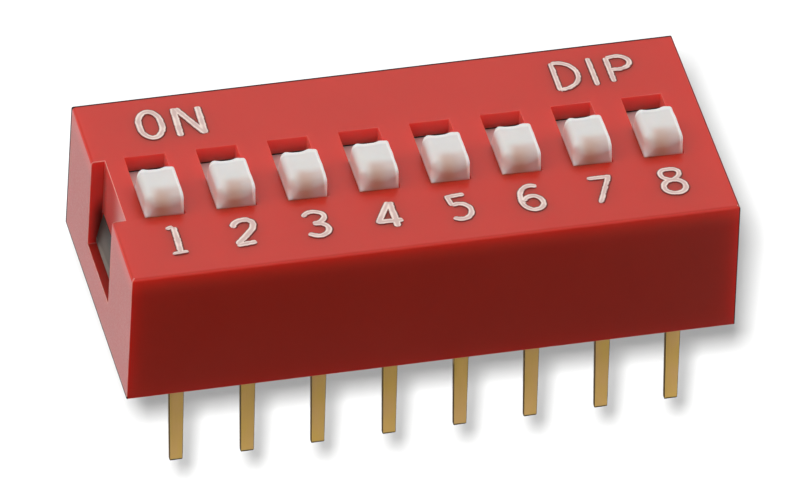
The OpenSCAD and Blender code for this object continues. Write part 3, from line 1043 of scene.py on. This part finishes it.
pinShape = {
    "edgeRadius": 0.030 * mm,
    "thinner": 0.07 * mm,      # taken off its inner face
    "faceDepth": 0.1 * mm,     # points deeper than this belong to that face
    "thinBelow": 0.2 * mm,     # and only those below this height move
    "shorter": 0.012 * mm,     # so that a leaning pin stays above the lowest level
    "pivot": 1.0 * mm,         # height about which a pin leans
    # degrees, to the right going down, and how far a pin bows to a side
    "row": {"Lean": -1.3, "Lean Spread": 0.3, "Bow": 0.04 * mm, "Bow Size": 3.2 * mm},
    "cutFacing": 0.9,          # faces that point this much sideways or down are cut ones
    # how much painted shade the cut faces get
    "cutShade": 0.8,
    "seed": {"front": 3, "rear": 11},
}


def buildPinRowTree():
    # a row of pins, each leaning a little and slightly bowed
    tree, given, sink = newGroup("pinRow", "GeometryNodeTree", {
        "Geometry": None, "Start": (0.0, 0.0, 0.0), "Pitch": 2.54 * mm, "Count": 8, "Lean": 0.0,
        "Lean Spread": 0.5, "Bow": 0.03 * mm, "Bow Size": 3 * mm, "Bow Below": 0.0, "Bow Length": 3 * mm,
        "Seed": 1, "Material": None}, ["Geometry"])
    line = geo(tree, "MeshLine", {
        "Count": given["Count"], "Start Location": given["Start"], "Offset": combine(tree, given["Pitch"])})
    ends = []
    for operation in ("SUBTRACT", "ADD"):
        angle = calc(tree, operation, given["Lean"], given["Lean Spread"])
        ends.append(combine(tree, 0.0, product(tree, angle, math.pi / 180)))
    lean = addNode(tree, "FunctionNodeRandomValue", {0: ends[0], 1: ends[1], 8: given["Seed"]},
                   data_type="FLOAT_VECTOR")
    pins = geo(tree, "InstanceOnPoints", {
        "Points": line, "Instance": given["Geometry"], "Rotation": lean.outputs[0]})
    # bowed sideways, from the base down
    real = geo(tree, "RealizeInstances", {"Geometry": pins})
    place = geo(tree, "InputPosition")
    below = calc(tree, "MAXIMUM", less(tree, given["Bow Below"], axes(tree, place)[2]), 0.0)
    free = calc(tree, "DIVIDE", below, given["Bow Length"], clamp=True)
    drift = noise(tree, place, given["Bow Size"], 0.0, seed=product(tree, given["Seed"], 1.7))["Fac"]
    sway = product(tree, less(tree, drift, 0.5), 2.0, free, given["Bow"])
    bent = geo(tree, "SetPosition", {"Geometry": real, "Offset": combine(tree, sway)})
    return endTree(tree, sink, bent, given["Material"])


def markPlating(mesh):
    # the "edge" mask also takes in the cut sides and ends of a pin, which are painted dark as painted shade
    facing = readItems(mesh.polygons, "normal", 3)
    cut = (np.abs(facing[0]) > pinShape["cutFacing"]) | (facing[2] < -pinShape["cutFacing"])
    edge = readItems(mesh.attributes["edge"].data, "value")
    writeMask(mesh, "edge", np.maximum(edge, pinShape["cutShade"] * cut))


def makePinMaster(row):
    # the row's first pin, around its pivot
    bm = mergedCopy(f"{row}_terminal_1")
    outer = max(abs(v.co.y) for v in bm.verts)
    for v in bm.verts:
        if abs(v.co.y) < outer - pinShape["faceDepth"] and v.co.z < pinShape["thinBelow"]:
            v.co.y += math.copysign(pinShape["thinner"], v.co.y)
        if v.co.z < floorZ + hair:
            v.co.z += pinShape["shorter"]
    roundEdges(bm, pinShape["edgeRadius"], 1)
    pivot = Vector((switchX[0], 0, pinShape["pivot"]))
    bmesh.ops.translate(bm, verts=bm.verts, vec=-pivot)
    master = finishMesh(bm, "pinMaster")
    markPlating(master.data)
    return master, pivot


def makeTerminals():
    tree = buildPinRowTree()
    for row, seed in pinShape["seed"].items():
        master, pivot = makePinMaster(row)
        pins = runTree(master, tree, f"{row}Terminals", {
            **pinShape["row"], "Start": tuple(pivot), "Pitch": pitch, "Count": ways, "Seed": seed,
            "Bow Below": baseBottom, "Bow Length": baseBottom - floorZ, "Material": materials["gold"]})
        nodes = [f"{row}_terminal_{n}" for n in range(1, ways + 1)]
        dress(pins, materials["gold"], "housing", "terminal_gold", *nodes)
    for n in range(1, ways + 1):
        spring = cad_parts[f"spring_contact_{n}"]
        spring.data.materials.clear()
        spring.data.materials.append(materials["spring"])


makeTerminals()
print("terminals made")

cameraSetup = {"azimuth": -15.323, "elevation": 39.547, "roll": 2.95, "distance": 486.2 * mm,
               "aimUp": 0.8366 * mm, "aimRight": -0.0235 * mm, "lens": 628.3, "sensor": 36.0,
               "clipStart": 10 * mm}


def towards(azimuth, elevation):
    # unit vector from the object to something in that direction, where azimuth 0 is in front
    return Vector((math.sin(azimuth) * math.cos(elevation), -math.cos(azimuth) * math.cos(elevation),
                   math.sin(elevation)))


def makeCamera(setup):
    azimuth, elevation, roll = (math.radians(setup[key]) for key in ("azimuth", "elevation", "roll"))
    back = towards(azimuth, elevation)
    right = Vector((math.cos(azimuth), math.sin(azimuth), 0))
    up = back.cross(right)
    turned = math.cos(roll) * right + math.sin(roll) * up
    upright = math.cos(roll) * up - math.sin(roll) * right
    data = bpy.data.cameras.new("camera")
    data.lens = setup["lens"]
    data.sensor_width = setup["sensor"]
    data.clip_start = setup["clipStart"]
    camera = newObject("camera", data)
    camera.matrix_world = Matrix((turned, upright, back)).transposed().to_4x4()
    camera.location = turned * setup["aimRight"] + upright * setup["aimUp"] + back * setup["distance"]
    bpy.context.scene.camera = camera


# millimetres and watts
studio = {
    "lampSize": 200,
    "lamps": {  # place and watts
        "leftTop": ((-170, 0, 250), 0.42), "rightTop": ((170, 0, 250), 0.27),
        "frontTop": ((0, -170, 250), 0.074), "backTop": ((0, 170, 250), 0.147),
        "leftLow": ((-300, 0, 80), 0.185), "rightLow": ((300, 0, 80), 0.27),
    },
    "flag": {"near": 18, "far": 400, "left": -400, "right": 21, "lift": 0.5, "albedo": 0.01},
    "floorSide": 1200,
    "floorDrop": 12,           # the floor lies this far below the pin tips
    "floorAlbedo": 0.07,
    "floorShown": 0.34,
    "floorLamp": {"azimuth": -16.66, "elevation": 41.16, "distance": 500, "size": 20, "watts": 9.2},
}
floorLevel = floorZ - studio["floorDrop"] * mm


def makeLamp(name, at, size, watts):
    data = bpy.data.lights.new(name, "AREA")
    data.shape = "SQUARE"
    data.size = size * mm
    data.energy = watts
    made = newObject(name, data)
    made.location = at
    made.rotation_euler = at.to_track_quat("Z", "Y").to_euler()
    return made


def makeFloorLamp(lamp, floor):
    # a small lamp beside the camera that lights only the floor, for a soft shadow beside the object
    direction = towards(math.radians(lamp["azimuth"]), math.radians(lamp["elevation"]))
    made = makeLamp("floorLamp", direction * lamp["distance"] * mm, lamp["size"], lamp["watts"])
    lit = bpy.data.collections.new("litByFloorLamp")
    lit.objects.link(floor)
    made.light_linking.receiver_collection = lit


def makeCard(name, left, right, front, rear, height):
    # a level rectangle
    mesh = bpy.data.meshes.new(name)
    corners = [(left, front), (right, front), (right, rear), (left, rear)]
    mesh.from_pydata([(x, y, height) for x, y in corners], [], [(0, 1, 2, 3)])
    return newObject(name, mesh)


def gray(value):
    return (value, value, value, 1)


def makeFlag(flag):
    # a dark card in front of the object: only reflections see it
    near, far, left, right, lift = (flag[key] * mm for key in ("near", "far", "left", "right", "lift"))
    card = makeCard("flag", left, right, -far, -near, floorLevel + lift)
    material, tree, shader, _ = newMaterial("darkCard", {})
    fill(tree, shader, {"Base Color": gray(flag["albedo"]), "Specular IOR Level": 0.0})
    card.data.materials.append(material)
    for kind in ("camera", "diffuse", "transmission", "volume_scatter", "shadow"):
        setattr(card, f"visible_{kind}", False)


def shownTo(tree):
    # 1 for the rays that show the white backdrop: camera, glossy and transmission
    path = addNode(tree, "ShaderNodeLightPath").outputs
    seen = calc(tree, "MAXIMUM", path["Is Camera Ray"], path["Is Glossy Ray"])
    return calc(tree, "MAXIMUM", seen, path["Is Transmission Ray"])


def makeWorld():
    world = bpy.data.worlds.new("studio")
    bpy.context.scene.world = world
    world.use_nodes = True
    tree = world.node_tree
    fill(tree, tree.nodes["Background"], {"Color": gray(1), "Strength": shownTo(tree)})


def makeFloor():
    half = studio["floorSide"] * mm / 2
    floor = makeCard("floor", -half, half, -half, half, floorLevel)
    material, tree, shader, _ = newMaterial("paleFloor", {})
    color = blendColor(tree, shownTo(tree), gray(studio["floorAlbedo"]), gray(studio["floorShown"]))
    fill(tree, shader, {"Base Color": color, "Roughness": 1.0, "Specular IOR Level": 0.0})
    floor.data.materials.append(material)
    return floor


makeCamera(cameraSetup)
for name, (at, watts) in studio["lamps"].items():
    makeLamp(name, Vector(at) * mm, studio["lampSize"], watts)
makeFlag(studio["flag"])
makeWorld()
makeFloorLamp(studio["floorLamp"], makeFloor())
bpy.context.scene.view_settings.view_transform = "Standard"
print("camera, floor and lamps set")
